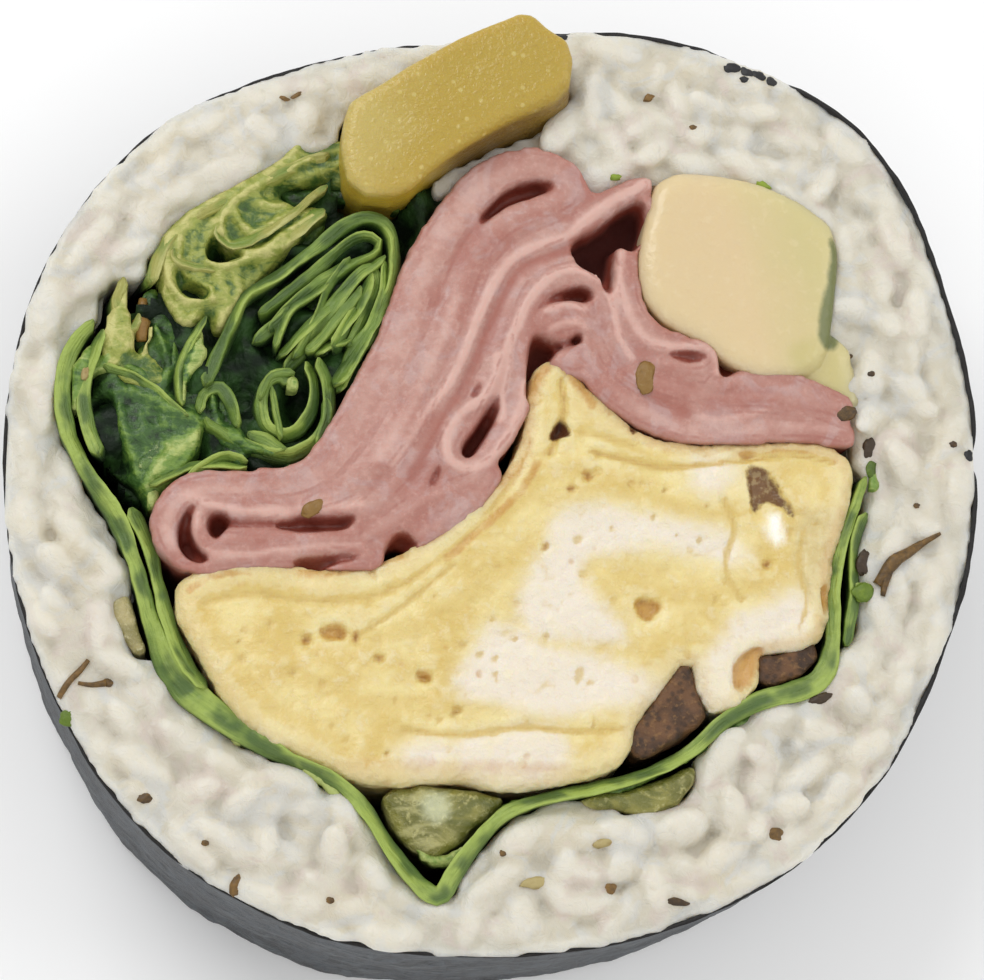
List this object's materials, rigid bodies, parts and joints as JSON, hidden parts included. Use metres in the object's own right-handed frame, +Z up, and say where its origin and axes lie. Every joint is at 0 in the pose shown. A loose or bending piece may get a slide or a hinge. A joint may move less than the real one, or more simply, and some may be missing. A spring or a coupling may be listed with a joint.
{
  "type": "kimbap slice",
  "caption": "Thick round slice of kimbap with its cut face up: seaweed and rice round ham, egg roll, cucumber, leaves and pickles.",
  "frame": {"origin": "middle of the bounding box on the floor, under the lower cut face", "axes": "+Z up through the slice from one cut face to the other, +Y towards the pickled radish that stands out over the rim"},
  "size_m": [0.0616, 0.0602, 0.0223],
  "materials": {
    "nori": "dry toasted seaweed, slightly glossy",
    "rice": "moist cooked grains",
    "pickled_radish": "wet and slightly translucent",
    "radish_sliver": "wet and translucent",
    "cucumber": "wet pale flesh",
    "egg": "porous cooked egg",
    "burdock": "rough and dark",
    "ham": "smooth and moist",
    "leaf": "soft green leaf",
    "lettuce": "thin yellow-green leaf",
    "pickle": "wet and translucent"
  },
  "bodies": {
    "root": {"nori": "nori", "rice": "rice", "pickled_radish": "pickled_radish", "radish_sliver": "radish_sliver", "cucumber": "cucumber", "egg_roll": "egg", "burdock_wedge": "burdock", "burdock_sliver": "burdock", "ham_1": "ham", "ham_2": "ham", "ham_3": "ham", "ham_4": "ham", "ham_5": "ham", "ham_6": "ham", "leaf_wrap": "leaf", "leaf_wrap_left": "leaf", "leaf_wrap_right": "leaf", "leaf_loop": "leaf", "leaf_fold": "leaf", "leaf_petal_1": "leaf", "leaf_petal_2": "leaf", "leaf_petal_3": "leaf", "leaf_curl_outer": "leaf", "leaf_curl_inner": "leaf", "leaf_blade": "leaf", "leaf_rim": "leaf", "leaf_crinkle": "leaf", "leaf_under": "leaf", "leaf_stem": "leaf", "lettuce_1": "lettuce", "lettuce_2": "lettuce", "lettuce_3": "lettuce", "lettuce_4": "lettuce", "pickle_slice_1": "pickle", "pickle_slice_2": "pickle"}
  },
  "joints": []
}
